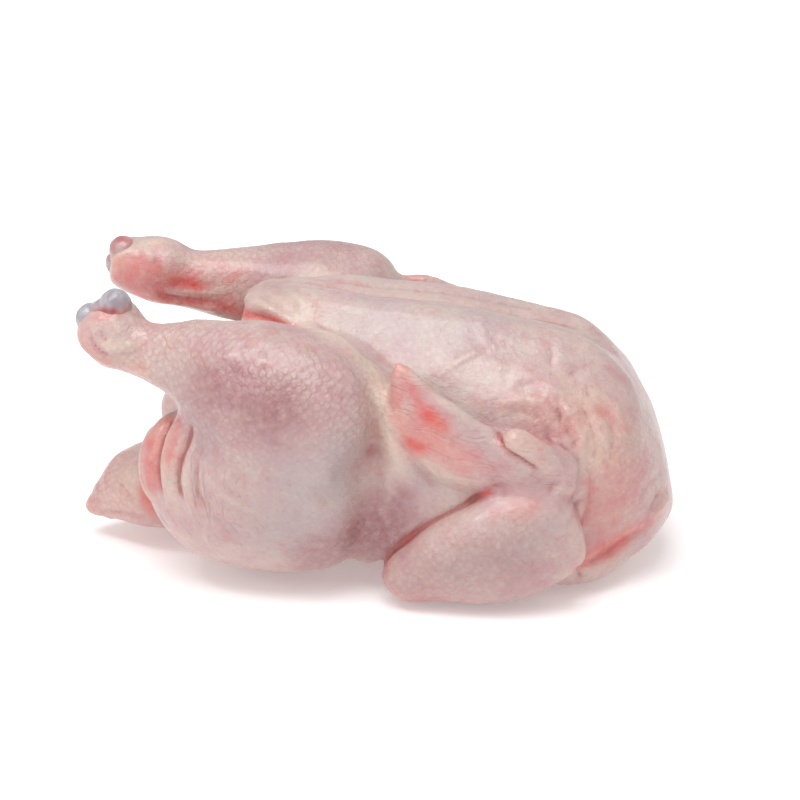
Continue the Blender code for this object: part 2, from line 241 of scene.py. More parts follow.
def knuckle_surfaces(side):
    """The two gristle-capped rollers of a shank's end and the bone behind them: side -1 near, +1 far."""
    if side < 0:
        upper, lower, base = (-104.5, -44.5, 122.2), (-115.2, -42, 115.4), (-88, -45, 102)
        sizes = (6.6, 6.6, 5)
    else:
        upper, lower, base = (-118.5, 38.5, 123.8), (-122, 44, 115.5), (-96, 43, 112)
        sizes = (6.6, 6, 5)
    upper, lower, base = (np.array(p, float) for p in (upper, lower, base))
    balls = [
        limb_surface([p - (size, 0, 0), p, p + (size, 0, 0)], [size] * 3, [size] * 3, caps=(0.5, 0.5), rings=24)
        for p, size in ((upper, sizes[0]), (lower, sizes[1]))
    ]
    middle = (upper + lower) / 2
    bridge = limb_surface([lower, middle, upper], [sizes[1] * 0.8] * 3, [sizes[1] * 0.8] * 3, caps=(0.3, 0.3))
    shaft = limb_surface([middle, (middle + base) / 2, base], [sizes[2]] * 3, [sizes[2]] * 3)
    return [*balls, bridge, shaft]


def closed_faces(rings, around):
    """Quads between neighbouring rings, and a fan to one pole point at each end."""
    r, a = np.meshgrid(np.arange(rings - 1), np.arange(around), indexing="ij")
    b = (a + 1) % around
    quads = np.stack([r * around + a, r * around + b, (r + 1) * around + b, (r + 1) * around + a], -1)
    first, last = rings * around, rings * around + 1
    a = np.arange(around)
    b = (a + 1) % around
    start = np.stack([b, a, np.full(around, first)], -1)
    end = np.stack([(rings - 1) * around + a, (rings - 1) * around + b, np.full(around, last)], -1)
    return quads.reshape(-1, 4).tolist() + start.tolist() + end.tolist()


def joined_mesh(name, surfaces):
    """One mesh that holds every surface, each closed by pole points at the middle of its first and last ring."""
    points, faces = [], []
    for surface in surfaces:
        rings, around = surface.shape[:2]
        offset = sum(len(p) for p in points)
        poles = [surface[0].mean(0), surface[-1].mean(0)]
        points.append(np.concatenate([surface.reshape(-1, 3), poles]))
        faces += [[i + offset for i in face] for face in closed_faces(rings, around)]
    mesh = bpy.data.meshes.new(name)
    mesh.from_pydata((np.concatenate(points) * MM).tolist(), [], faces)
    work = bmesh.new()
    work.from_mesh(mesh)
    bmesh.ops.recalc_face_normals(work, faces=work.faces)
    work.to_mesh(mesh)
    work.free()
    return mesh


def placed(name, data):
    made = bpy.data.objects.new(name, data)
    bpy.context.scene.collection.objects.link(made)
    return made


def with_modifier(obj, kind, **settings):
    """Applies one modifier to the object's mesh."""
    modifier = obj.modifiers.new(kind, kind)
    for key, value in settings.items():
        setattr(modifier, key, value)
    graph = bpy.context.evaluated_depsgraph_get()
    mesh = bpy.data.meshes.new_from_object(obj.evaluated_get(graph))
    obj.modifiers.clear()
    obj.data = mesh


def mesh_points(mesh, kind="co"):
    """A row for each vertex: its place, or its normal where the kind says so."""
    rows = np.empty(len(mesh.vertices) * 3, np.float32)
    mesh.vertices.foreach_get(kind, rows)
    return rows.reshape(-1, 3).astype(float)


def mesh_normals(mesh):
    return mesh_points(mesh, "normal")


def mesh_edges(mesh):
    edges = np.empty(len(mesh.edges) * 2, np.int32)
    mesh.edges.foreach_get("vertices", edges)
    return edges.reshape(-1, 2)


def set_points(mesh, points):
    mesh.vertices.foreach_set("co", points.astype(np.float32).ravel())
    mesh.update()


def neighbour_mean(points, edges):
    """The mean of each point's neighbours along the edges."""
    total = np.zeros_like(points)
    for axis in range(3):
        total[:, axis] = np.bincount(edges[:, 0], points[edges[:, 1], axis], len(points)) + np.bincount(
            edges[:, 1], points[edges[:, 0], axis], len(points)
        )
    count = np.bincount(edges.ravel(), minlength=len(points))
    return total / np.maximum(count, 1)[:, None]


def fill_creases(mesh, rounds, strength):
    """Rounds hollow places only: a point moves out towards its neighbours' mean where that lies outside the skin."""
    edges = mesh_edges(mesh)
    for _ in range(rounds):
        points, normals = mesh_points(mesh), mesh_normals(mesh)
        pull = neighbour_mean(points, edges) - points
        hollow = np.clip((pull * normals).sum(1), 0, None)
        set_points(mesh, points + strength * hollow[:, None] * normals)


def smoothed(points, edges, rounds, strength):
    """The points drawn towards the mean of their neighbours, so many times over."""
    for _ in range(rounds):
        points = points + strength * (neighbour_mean(points, edges) - points)
    return points


def smooth(mesh, rounds, strength):
    set_points(mesh, smoothed(mesh_points(mesh), mesh_edges(mesh), rounds, strength))


def cut_away(body, cutter):
    """Cuts one closed mesh out of another, and removes the cutter."""
    with_modifier(body, "BOOLEAN", operation="DIFFERENCE", solver="EXACT", object=cutter)
    bpy.data.objects.remove(cutter)


LATTICE = 32


def bumpy(points, size, seed):
    """Smooth value noise from -1 to 1: random numbers at the corners of a lattice of this size, eased between."""
    table = np.random.default_rng(seed).uniform(-1, 1, (LATTICE, LATTICE, LATTICE))
    at = points / size + 100.0
    corner = np.floor(at).astype(int)
    blend = at - corner
    blend = blend * blend * (3 - 2 * blend)
    total = np.zeros(len(points))
    for i in (0, 1):
        for j in (0, 1):
            for k in (0, 1):
                share = np.prod(np.where([i, j, k], blend, 1 - blend), axis=1)
                total += share * table[tuple(((corner + [i, j, k]) % LATTICE).T)]
    return total


def uneven(points, layers):
    """Layers of noise added up, each (height, size, seed)."""
    return sum(height * bumpy(points, size, seed) for height, size, seed in layers)


def along_line(points, line):
    """Distance from each point to a polyline, and how far along it, in millimetres, the nearest place lies."""
    line = np.asarray(line, float)
    best = np.full(len(points), 1e9)
    where = np.zeros(len(points))
    start = 0.0
    for a, b in zip(line[:-1], line[1:]):
        length = np.linalg.norm(b - a)
        t = np.clip((points - a) @ (b - a) / length**2, 0, 1)
        far = np.linalg.norm(points - (a + t[:, None] * (b - a)), axis=1)
        closer = far < best
        best = np.where(closer, far, best)
        where = np.where(closer, start + t * length, where)
        start += length
    return best, where, start


def blobs(points, table):
    """Soft blobs added up, each (strength, centre, reach along each axis), and held at 1."""
    return np.clip(sum(
        strength * np.exp(-(((points - np.array(centre)) / reach) ** 2).sum(1)) for strength, centre, reach in table
    ), 0, 1)


def rounded_line(line):
    """The same line with its corners rounded off, by a smooth curve through its points, three steps for each part."""
    line = np.asarray(line, float)
    run = np.r_[0, np.cumsum(np.linalg.norm(np.diff(line, axis=0), axis=1))]
    return smooth_through(run, line, np.linspace(0, run[-1], 3 * (len(line) - 1) + 1))


def ease(value, low, high):
    """0 at low, 1 at high, and smooth between; low may be the larger."""
    t = np.clip((value - low) / (high - low), 0, 1)
    return t * t * (3 - 2 * t)


def on_near_side(points):
    """The points, with the far half of the bird mirrored on to the near half."""
    return points * np.where(points[:, 1:2] > 0, (1, -1, 1), (1, 1, 1))


def both_sides(strokes):
    """The strokes, and their mirror images on the far side of the bird."""
    return strokes + [(*((x, -y, z) for x, y, z in line), width, height) for *line, width, height in strokes]


# Folds and creases: the points of a line, its width, and its height above the skin, negative for a crease.
BREAST_FOLDS = both_sides([
    ((-55, -11, 114.5), (-50, -17, 115), (-44, -21, 115.5), (-38, -25, 115), (-31, -29, 113), 2, 1.6),
    ((-56, -12, 110), (-51, -18, 111), (-45, -23, 111.5), (-38, -28, 110.5), (-29, -33, 108.5), 1.4, -1.3),
]) + [
    ((-50, 6, 118), (-38, 3, 119), (-25, 1, 118), (-3, 0, 117), (19, -1, 114), (40, 1, 111), (62, 4, 106),
      (84, 7, 100), (101, 11, 91), 2.6, -2.4),
    ((-52, 2, 117), (-38, -2, 119), (-25, -4, 118), (-3, -5, 117), (19, -6, 115), (40, -4, 112), (62, -1, 107),
      (84, 2, 101), 2.6, 1.2),
    ((-40, 11, 119), (-10, 9, 119), (20, 10, 116), (60, 12, 108), (88, 16, 100), 1.8, -0.7),
    ((-40, -9, 120), (0, -11, 119), (50, -9, 111), (88, -5, 99), 3, 1.1),
    ((-56, -8, 115), (-57, 0, 114.5), (-56, 8, 115), 2.2, 1.2),
    ((-57, -10, 110), (-59, 0, 109), (-57, 10, 110), 2, -1.5),
    ((-51, -10, 118), (-45, -17, 116), (-38, -24, 114), 1.8, -0.6),
    ((-44, -8, 121), (-38, -16, 119), (-31, -25, 114), 1.8, -0.6),
    ((-36, -9, 121), (-29, -17, 120), (-22, -28, 113), 1.5, -0.7),
    ((29, -45, 94), (36, -42, 98), (42, -38, 101), (48, -35, 102), (50, -28, 107), 1.5, 0.6),
    ((44, -20, 113), (46, -27, 109), (48, -34, 104), 1.4, 0.5),
    ((57, -24, 109), (53, -31, 105), (49, -38, 100), 1.5, 0.35),
]
FRONT_FOLDS = both_sides([
    ((126, -21, 47), (119, -36, 47), (112, -45, 43), 2.2, -0.7),
    ((127, -16, 36), (123, -31, 34), (117, -40, 30), 3, 1.6),
    ((120, -35, 24), (114, -41, 25), (108, -47, 23), (100, -51, 19), (94, -55, 17), (88, -60, 17), 2.4, -1.5),
    ((121, -22, 18), (113, -32, 14), (102, -43, 11), 3, 1.3),
]) + [
    ((73, -22, 105), (75, -29, 101), (75, -35, 96), (78, -40, 91), (83, -42, 88), (90, -46, 81),
      (94, -49, 74), 1.8, -1),
    ((76, -18, 105), (79, -26, 101), (80, -33, 96), 3, 0.6),
    ((80, -40, 92), (84, -34, 94), (89, -29, 95), (97, -22, 94), 2, -0.9),
    ((81, -44, 88), (87, -44, 84), (92, -46, 79), (97, -48, 71), (98, -51, 62), 2.6, 0.8),
    ((84, -42, 88), (87, -45, 83), (92, -49, 76), (94, -53, 67), (93, -55, 58), 1.6, -0.7),
    ((79, -47, 86), (84, -50, 80), (88, -54, 71), (89, -57, 62), 2.2, 1.3),
    ((77, -50, 86), (80, -53, 79), (84, -57, 72), 1.6, -0.8),
    ((96, -39, 83), (100, -43, 76), (101, -49, 67), (99, -53, 58), 1.8, -0.9),
    ((99, -37, 83), (104, -40, 76), (106, -44, 67), 2.2, 0.7),
    ((52, -54, 84), (61, -51, 86), (69, -51, 86), (75, -52, 82), 1.8, 0.8),
    ((56, -58, 81), (66, -56, 82), (73, -56, 80), 1.6, -0.8),
    ((60, -47, 91), (68, -45, 92), (74, -46, 88), 1.8, -0.6),
    ((122, -31, 42), (119, -37, 35), (116, -41, 31), 1.6, -0.5),
]
LEG_FOLDS = both_sides([
    ((-36, -28, 113), (-25, -38, 113), (-13, -49, 110), (-4, -54, 105), (3, -59, 97), (8, -62, 86), (11, -63, 75),
      (15, -63, 62), (22, -63, 50), 3.6, 1.5),
    ((-28, -27, 113), (-22, -31, 111), (-12, -38, 108), (-1, -44, 104), (7, -49, 98), (12, -53, 90), 1.4, -1.2),
    ((-30, -52, 116), (-24, -56, 115), (-14, -61, 111), (-6, -64, 106), (0, -67, 99), (4, -69, 88), (5, -69, 73),
      (6, -67, 58), (7, -66, 44), 1.9, -1.4),
    ((-80, -50, 80), (-84, -54, 71), (-86, -57, 62), (-86, -60, 52), (-82, -62, 42), 1.5, -2.4),
    ((-71, -64, 80), (-73, -66, 70), (-76, -66, 62), (-77, -67, 53), (-74, -69, 44), 1.5, -2.2),
    ((-67, -70, 76), (-71, -71, 66), (-73, -71, 56), (-71, -72, 46), (-66, -73, 38), 1.8, 1),
    ((-64, -73, 74), (-68, -73, 64), (-69, -73, 54), (-67, -74, 45), 1.5, -1.1),
    ((-92, -48, 70), (-94, -52, 60), (-93, -55, 50), (-88, -58, 40), 1.6, 0.9),
    ((-97, -40, 54), (-96, -50, 46), (-92, -55, 40), (-88, -57, 33), (-82, -58, 26), 1.8, -1.4),
    ((-2, -69, 32), (3, -66, 22), (6, -62, 12), 1.9, -0.9), ((4, -66, 42), (8, -63, 30), (10, -60, 18), 1.9, -0.9),
]) + [
    ((-64, -74, 66), (-60, -76, 59), (-53, -78, 53), (-43, -80, 48), 1.9, -0.6),
    ((-67, -73, 59), (-62, -75, 52), (-53, -78, 46), (-42, -79, 42), 1.9, -0.6),
    ((-69, -72, 52), (-64, -74, 44), (-55, -76, 37), (-45, -77, 33), 1.9, -0.5),
]
HOCK_FOLDS = [
    ((-114, -50, 116), (-113, -53, 110), (-110, -55, 105), (-104, -56, 102), 1.4, -1.3),
    ((-110, -52, 115), (-107, -55, 110), (-103, -56, 106.5), 1.4, -0.9),
    ((-108, -54, 108), (-102, -56, 107), (-95, -54, 108), 2, 1.1),
    ((-106, -56, 104), (-99, -56, 104), (-92, -54, 105), 1.7, -0.5),
    ((-119, -50, 110), (-117, -53, 105), (-111, -55, 100), (-104, -55, 97), 1.8, 0.8),
    ((-121, -47, 107), (-116, -52, 101), (-108, -53, 96), 1.3, -0.9),
    ((-98, -55, 102), (-94, -54, 99), (-91, -54, 96), 1.7, -0.5),
    ((-94, -54, 103), (-90, -54, 100), (-87, -54, 97), 1.7, -0.4),
    ((-102, -55, 99), (-95, -54, 96), (-88, -54, 95), 1.5, 0.8),
    ((-103, -50, 120), (-98, -51, 115), (-95, -52, 111), 1.5, -0.6),
    ((-126, 33, 118), (-121, 31, 122), (-114, 30, 126), (-107, 32, 128), 1.6, 1.1),
    ((-123, 32, 124), (-117, 32, 127), (-111, 34, 129), 1.4, -0.7),
    ((-112, 32, 129), (-106, 30, 125), (-102, 30, 121), 1.5, 0.9),
    ((-126, 31, 112), (-118, 28, 108), (-108, 27, 106), (-98, 29, 104), 1.8, 1),
    ((-98, 30, 113), (-90, 31, 111), (-82, 32, 109), (-72, 34, 110), 1.5, -0.4),
    ((-100, 31, 108), (-88, 32, 106), (-76, 34, 107), (-64, 35, 109), 1.7, 0.9),
    ((-108, 32, 103), (-96, 34, 101), (-84, 35, 99), (-70, 36, 98), 1.8, 1.1),
    ((-104, 31, 106), (-92, 33, 104), (-80, 34, 102), (-68, 35, 101), 1.4, -0.9),
]
WING_FOLDS = both_sides([
    ((54, -66, 82), (54.5, -69, 78), (57, -72, 74.3), (62, -74, 70.2), (68, -75, 66), (73, -75, 62.5), 1.4, -2.2),
    ((52, -68, 82), (58, -68, 83), (67, -66, 80.5), (75, -63, 76), (82, -61, 69), 1.8, 0.9),
    ((50, -71, 56), (58, -75, 57.5), (68, -77, 58), 1.4, -1),
    ((13, -63, 106), (21, -65, 100), (29, -66, 94), (38, -67, 87), (47, -68, 82), (55, -68, 79), 2.2, 1.2),
    ((50, -70, 54), (44, -67, 49), (35, -66, 43.5), (26, -65, 37.5), (18, -65, 31), (10, -65, 24),
      (4, -66, 14), 1.25, -3),
    ((87, -68, 24), (89, -60, 14), (90, -52, 8), 2, -1.6),
    ((87, -58, 67), (92, -57, 57), (92, -57, 46), (89, -59, 34), (86, -62, 25), 1.5, -0.7),
    ((76, -70, 57), (84, -65, 53), (88, -62, 46), 4.5, 2), ((15, -80, 30), (30, -83, 38), (46, -84, 46), 4, 0.5),
])
TAIL_FOLDS = both_sides([
    ((-126, -8, 14), (-118, -15, 17), (-108, -21, 19), (-98, -26, 18), 1.8, -1),
    ((-116, -13, 33), (-110, -19, 30), (-104, -23, 25), 1.6, -0.8),
]) + [
    ((-130, 0, 19), (-122, 0, 31), (-113, 0, 41), 2.2, 1.2), ((-119, -4, 9), (-121, -8, 8), 2.2, 1.6),
]
SIDE_FOLDS = FRONT_FOLDS + LEG_FOLDS + HOCK_FOLDS + WING_FOLDS + TAIL_FOLDS

# Where colour departs from the plain skin, and where its pits show most: the points of a line, reach and strength.
FLUSHED = both_sides([
    ((13, -63, 105), 7, 0.9), ((13, -66, 93), (15, -68, 80), (20, -69, 69), 4, 0.5),
    ((18, -66, 98), (22, -68, 91), (27, -70, 84), 2.6, 0.6), ((24, -70, 76), (32, -71, 70), (40, -72, 68), 6, 0.42),
    ((40, -72, 72), (52, -73, 66), 8, 0.2),
    ((54.5, -69, 78), (57, -72, 74.3), (62, -74, 70.2), (68, -75, 66), 1.5, 0.5),
    ((59, -72, 79), (70, -69, 75), 6, 0.28), ((60, -79, 53), (68, -80, 51), 6, 0.5),
    ((92, -58, 54), (92, -58, 44), (89, -60, 34), 2, 0.3),
    ((51, -70, 54), (44, -67, 48), (35, -66, 42.5), (26, -65, 36.5), (18, -65, 30), (10, -65, 23), 1.7, 0.9),
    ((8, -68, 20), (16, -72, 6), (30, -78, 4), 4.5, 0.4), ((-86, -50, 72), (-88, -52, 62), (-88, -55, 52), 8, 0.75),
    ((-78, -58, 74), (-79, -63, 64), 6, 0.5), ((-100, -24, 40), (-99, -26, 28), (-92, -32, 16), 5, 0.8),
    ((-57, -11, 109.5), (-52, -17, 110.5), (-46, -22, 111), (-39, -27, 110), (-30, -33, 107.5), 2.6, 1),
    ((121, -34, 31), (115, -40, 28), 3.6, 0.5),
    ((112, -43, 26), (105, -48, 23), (98, -52, 20), (92, -56, 19), (88, -66, 21), 4.2, 0.85),
    ((108, -46, 24), (102, -50, 21), 4.5, 0.9), ((128, -16, 40), (125, -28, 33), 4.5, 0.45),
    ((104, -48, 50), (98, -55, 38), 17, 0.4),
]) + [
    ((26, -69, 85), (31, -70, 81), 5.2, 0.9), ((19, -68, 74), (23, -70, 71), 3.2, 0.8),
    ((24, 68, 86), (32, 70, 78), 8, 0.55), ((-108, 0, 20), 22, 0.3), ((-130, 0, 15), (-126, -3, 14), 5, 0.85),
    ((-57, -8, 105), (-58, 0, 104), (-57, 8, 105), 3.6, 0.6),
    ((-62, -20, 70), (-62, 0, 88), (-62, 20, 70), (-64, 0, 52), (-62, -20, 70), 5, 0.55),
    ((104, -41, 74), (105, -42, 72), 1.8, 0.9), ((102, -43, 76), (96, -42, 80), 7, 0.3),
    ((72, -56, 84), (84, -55, 80), 11, 0.34), ((-92, 30, 112), (-87, 31, 111), (-83, 32, 108), 4, 1),
    ((-117, 29, 116), (-109, 28, 117), (-102, 29, 112), 9, 0.75),
    ((-112, 31, 105), (-99, 32, 102), (-88, 34, 101), (-74, 33, 100), (-63, 34, 97), 5, 0.85),
    ((-80, 34, 116), (-66, 36, 112), 9, 0.3), ((-111, -50, 117.5), (-105, -52, 120), (-99, -50, 120.5), 1.6, 0.85),
    ((-118, -47, 109), (-117, -49, 105), 2.4, 1), ((-117, -49, 110), (-114, -52, 104), (-108, -54, 98), 4.5, 0.45),
    ((-100, -54, 96), (-92, -53, 97), 4, 0.3), ((-92, -44, 112), 6, 0.3),
]
# Dark meat seen through the skin, and also painted shade on the low sides of the thighs and forearms.
DARK_MEAT_AND_SHADE = both_sides([
    ((-60, -72, 95), (-52, -74, 98), (-44, -80, 92), (-36, -83, 88), 15, 0.88),
    ((-34, -68, 107), (-20, -72, 104), 11, 0.5),
    ((8, -66, 40), (4, -68, 28), (-4, -68, 12), (-20, -72, 8), 12, 0.95),
    ((-18, -76, 24), (-8, -72, 26), (4, -68, 32), 12, 0.9), ((-52, -78, 50), (-44, -80, 40), 14, 0.22),
    ((13, -66, 47), (15, -66, 38), 9, 0.5), ((-70, -60, 90), (-78, -58, 88), 9, 0.3),
    ((22, -80, 17), (44, -84, 26), (64, -84, 26), 18, 0.5),
]) + [
    ((-34, -83, 95), (-28, -83, 93), 9, 0.55), ((-60, 76, 104), (-30, 82, 108), 13, 0.55),
    ((-50, 60, 126), (-20, 62, 126), 13, 0.6), ((-30, -52, 124), (-44, 36, 120), (-30, 38, 118), 10, 0.4),
]
PALE_GREY = both_sides([
    ((-26, -86, 60), (-22, -82, 44), (-34, -82, 36), 19, 0.75), ((22, -60, 60), (30, -60, 50), 8, 0.75),
    ((0, -27, 115), (24, -28, 111), (48, -24, 110), 15, 0.5), ((-5, -76, 73), (-8, -78, 62), 9, 0.6),
    ((-10, -80, 72), (-8, -78, 58), 11, 0.6), ((-74, -60, 88), (-66, -70, 76), 10, 0.5),
    ((33, -71, 87), (42, -72, 81), (52, -73, 72), 6, 0.75), ((34, -86, 26), (58, -84, 32), (76, -80, 44), 8, 0.6),
]) + [
    ((-112, 34, 126), (-120, 38, 126), 6, 0.5),
]
CREAM = both_sides([
    ((-32, -34, 114), (-24, -43, 113), (-13, -51, 110), (-5, -55, 106), (2, -59, 99), (7, -62, 89), (10, -63, 76),
      (14, -63, 62), 6.5, 0.95),
    ((-52, -12, 117), (-40, -18, 118), (-30, -24, 115), 8, 0.6),
    ((15, -66, 88), (16, -68, 78), (22, -69, 67), (30, -70, 61), (42, -72, 57.5), 2.4, 0.6),
    ((-52, -80, 50), (-44, -81, 44), 9, 0.45), ((30, -30, 112), (0, -30, 115), 14, 0.3),
    ((14, -78, 20), (34, -86, 24), (52, -84, 34), 12, 0.3), ((-118, -12, 26), (-108, -18, 34), 10, 0.5),
]) + [
    ((88, -46, 84), (92, -50, 74), (92, -54, 64), 9, 0.75), ((80, -38, 95), 7, 0.4),
    ((-126, 33, 119), (-121, 31, 123), (-112, 33, 128), (-104, 36, 129), 4.5, 0.95),
    ((-107, -55, 108), (-102, -56, 107), (-95, -54, 108), 2.2, 0.75),
    ((-98, -54, 100), (-92, -54, 99), (-88, -53, 100), 4, 0.5),
]
PITTED = both_sides([
    ((-84, -50, 104), (-60, -60, 102), (-34, -76, 98), (-8, -74, 88), 19, 1),
    ((-74, -68, 84), (-52, -80, 82), 16, 0.9), ((14, -76, 16), (36, -84, 26), (60, -84, 38), 16, 0.55),
    ((112, -40, 56), (120, -24, 48), 20, 0.6), ((-118, -10, 26), 16, 0.9), ((6, -68, 34), (0, -68, 16), 13, 0.8),
    ((20, -36, 108), (50, -34, 104), 26, 0.28),
]) + [
    ((-60, 56, 118), (-20, 64, 120), 24, 0.9), ((76, -54, 80), 15, 0.45),
]
PAINT = {"flushed": FLUSHED, "dark_meat_and_shade": DARK_MEAT_AND_SHADE, "pale_grey": PALE_GREY, "cream": CREAM, "pitted": PITTED}


def distance_to(points, line):
    """Distance to a point or to a rounded line, with the place along it and its whole length."""
    if len(line) == 1:
        return np.linalg.norm(points - line[0], axis=1), np.zeros(len(points)), 0.0
    return along_line(points, rounded_line(line))


def painted(points, strokes):
    """Strokes laid over each other, each fading out over its reach."""
    bare = np.ones(len(points))
    for *line, reach, strength in strokes:
        far, _, _ = distance_to(points, line)
        bare *= 1 - strength * np.exp(-((far / reach) ** 2))
    return 1 - bare


# Folds on the sides are found mostly by their place seen from the side, and folds on the breast from above.
SEEN_FROM_SIDE, SEEN_FROM_ABOVE = np.array([1, 0.4, 1]), np.array([1, 1, 0.5])
FOLD_TAPER = 0.22


def folded(points, strokes, seen):
    """Height of every fold at each point, each fold tapering at its ends."""
    height = np.zeros(len(points))
    for *line, width, rise in strokes:
        far, where, length = distance_to(points * seen, np.multiply(line, seen))
        taper = ease(where, -0.1, length * FOLD_TAPER) * ease(length - where, -0.1, length * FOLD_TAPER)
        height += rise * taper * np.exp(-((far / width) ** 2))
    return height


# Where the loose skin wrinkles and crumples: (strength, centre, reach along each axis).
WRINKLED_FANS = ((1, (-62, -66, 46), (26, 22, 26)), (0.6, (4, -60, 20), (16, 16, 18)))
CRUMPLED_PLACES = ((1, (84, -46, 78), (26, 22, 22)), (0.5, (60, -52, 86), (14, 14, 10)))

# The middle of each thigh along X and Z, round which its skin wrinkles, and the length that one radian counts for.
THIGH_MIDDLE, THIGH_LEAN, RADIAN_LENGTH = np.array([-22.0, 60.0]), 0.4, 40

# The line of the hand, the slant of its wrinkles, and the shift that keeps their pattern apart from the thigh's.
HAND_LINE = [(10, -64, 108), (14, -64, 102), (20, -68, 92), (27, -70, 82), (39, -72, 74), (55, -73, 67),
             (72, -73, 58)]
HAND_SLANT, HAND_LENGTHENED, HAND_APART = 0.3, 0.7, 200


def wrinkle_field(points):
    """For each point, how far it lies across the wrinkles and along them, and how wrinkled the skin is there."""
    near = on_near_side(points)
    x, y, z = near.T
    around_x, around_z = (near[:, [0, 2]] - THIGH_MIDDLE).T
    turn = np.arctan2(-around_x + THIGH_LEAN * around_z, -around_z - THIGH_LEAN * around_x)
    far, _, _ = along_line(near, rounded_line(HAND_LINE))
    hand = ease(far, 17, 12) * ease(y, -58, -64) * ease(z, 50, 58)
    across = np.where(hand > 0.02, z + HAND_SLANT * x + HAND_APART, np.hypot(around_x, around_z))
    along = np.where(hand > 0.02, x * HAND_LENGTHENED, turn * RADIAN_LENGTH)
    return across, along, blobs(near, WRINKLED_FANS), hand


def crumpled(points):
    """Height of the crumples in front of the near wing: swayed noise, folded sharply along its middle value."""
    swayed = points * (1, 1, 0.6) + 3 * bumpy(points, 14, 12)[:, None]
    return blobs(points, CRUMPLED_PLACES) * (1 - 2.2 * np.abs(bumpy(swayed, 4.4, 13)))


def set_attribute(mesh, name, values):
    attribute = mesh.attributes.new(name, "FLOAT" if values.ndim == 1 else "FLOAT_VECTOR", "POINT")
    attribute.data.foreach_set("value" if values.ndim == 1 else "vector", values.astype(np.float32).ravel())


def raise_skin(mesh, height):
    """Moves every point along its normal by this many millimetres."""
    set_points(mesh, mesh_points(mesh) + (height * MM)[:, None] * mesh_normals(mesh))


def hollowness(mesh, rounds):
    """How deep each point lies in a crease, from the distance that smoothing would move it."""
    start = mesh_points(mesh)
    return ((smoothed(start, mesh_edges(mesh), rounds, 0.5) - start) * mesh_normals(mesh)).sum(1) / MM


# The body hollow's middle height and half sizes, a little outside its wall, at these places along X.
HOLLOW_PLACES, HOLLOW_MIDDLE = (-100, -62, -30, 20, 72), (74, 70, 57, 48, 44)
HOLLOW_HALF_WIDTH, HOLLOW_HALF_HEIGHT = (24, 22, 30, 33, 21), (19, 18, 25.5, 27, 18)


def inside_hollow(points):
    """1 on the wall of the body hollow, and 0 on the outer skin."""
    x, y, z = points.T
    middle, half_width, half_height = (
        np.interp(x, HOLLOW_PLACES, row) for row in (HOLLOW_MIDDLE, HOLLOW_HALF_WIDTH, HOLLOW_HALF_HEIGHT)
    )
    depth = np.hypot(y / half_width, (z - middle) / half_height)
    return ease(x, -62, -56) * ease(x, 80, 74) * ease(depth, 1.1, 1.03)


# How the joins between the forms are filled: rounds, strength, and the share left out at the wings.
JOIN_ROUNDS, JOIN_STRENGTH, KEPT_AT_WINGS = 24, 0.6, 0.8

# Layers of noise as (height, size, seed).
UNEVENNESS = ((1.3, 34, 3), (0.7, 15, 4))
WRINKLE_SWAY = ((2.6, 12, 5), (1.0, 5, 10))
SMALL_LUMPS = ((0.22, 6, 11),)

# Heights in the mesh: pleats, with their share on the hand, crumples, and goose bumps on plain and pitted skin.
PLEAT_HEIGHT, HAND_SHARE, CRUMPLE_HEIGHT = 0.5, 0.35, 0.5
GOOSEBUMP_HEIGHT, PITTED_HEIGHT = 0.05, 0.12
CREASE_ROUNDS, FACING_ROUNDS = 6, 12


def build_skin():
    """The fused bird in finer steps than the solid, softened at its joins, hollowed, and worked with folds."""
    skin = placed("bird_skin", joined_mesh("bird_skin", bird_surfaces()))
    with_modifier(skin, "REMESH", mode="VOXEL", voxel_size=SKIN_STEP)
    smooth(skin.data, 3, 0.5)
    x, y, _ = on_near_side(mesh_points(skin.data) / MM).T
    wing = ease(y, -54, -62) * ease(x, 8, 16) * ease(x, 92, 84)
    fill_creases(skin.data, JOIN_ROUNDS, (JOIN_STRENGTH * (1 - KEPT_AT_WINGS * wing))[:, None])
    cut_away(skin, placed("hollow_cutter", joined_mesh("hollow_cutter", [body_hollow()])))
    with_modifier(skin, "REMESH", mode="VOXEL", voxel_size=SKIN_STEP)
    mesh = skin.data
    smooth(mesh, 3, 0.5)
    points = mesh_points(mesh) / MM
    inside = inside_hollow(points)
    raise_skin(mesh, (1 - inside) * uneven(points, UNEVENNESS))
    points = mesh_points(mesh) / MM
    raise_skin(mesh, folded(points, BREAST_FOLDS, SEEN_FROM_ABOVE) + folded(points, SIDE_FOLDS, SEEN_FROM_SIDE))
    across, along, fan, hand = wrinkle_field(points)
    across = across + uneven(points, WRINKLE_SWAY)
    wrinkles = np.stack([across, along * 0.2, np.zeros_like(along)], -1)
    raise_skin(mesh, (1 - inside) * (
        PLEAT_HEIGHT * (fan + HAND_SHARE * hand) * bumpy(wrinkles, 3.4, 6)
        + CRUMPLE_HEIGHT * crumpled(points)
        + (GOOSEBUMP_HEIGHT + PITTED_HEIGHT * painted(points, PITTED)) * bumpy(points, 2.3, 7)
        + uneven(points, SMALL_LUMPS)
    ))
    points = mesh_points(mesh) / MM
    for name, values in {
        **{name: painted(points, strokes) for name, strokes in PAINT.items()},
        # Crease depth, which the skin finish turns into painted shade in the hollows and painted light on the ridges.
        "creased": np.clip(hollowness(mesh, CREASE_ROUNDS), -1, 1),
        "wrinkled": np.clip(fan + 0.6 * hand, 0, 1),
        "inside": inside,
        "across": wrinkles,
    }.items():
        set_attribute(mesh, name, values)
    facing, edges = mesh_normals(mesh), mesh_edges(mesh)
    for _ in range(FACING_ROUNDS):
        facing = neighbour_mean(facing, edges)
    set_attribute(mesh, "facing", facing)
    points = points - LAYOUT_MIDDLE
    points[:, 2] = np.maximum(points[:, 2], 0)
    set_points(mesh, points * MM)
    mesh.shade_smooth()
    return skin


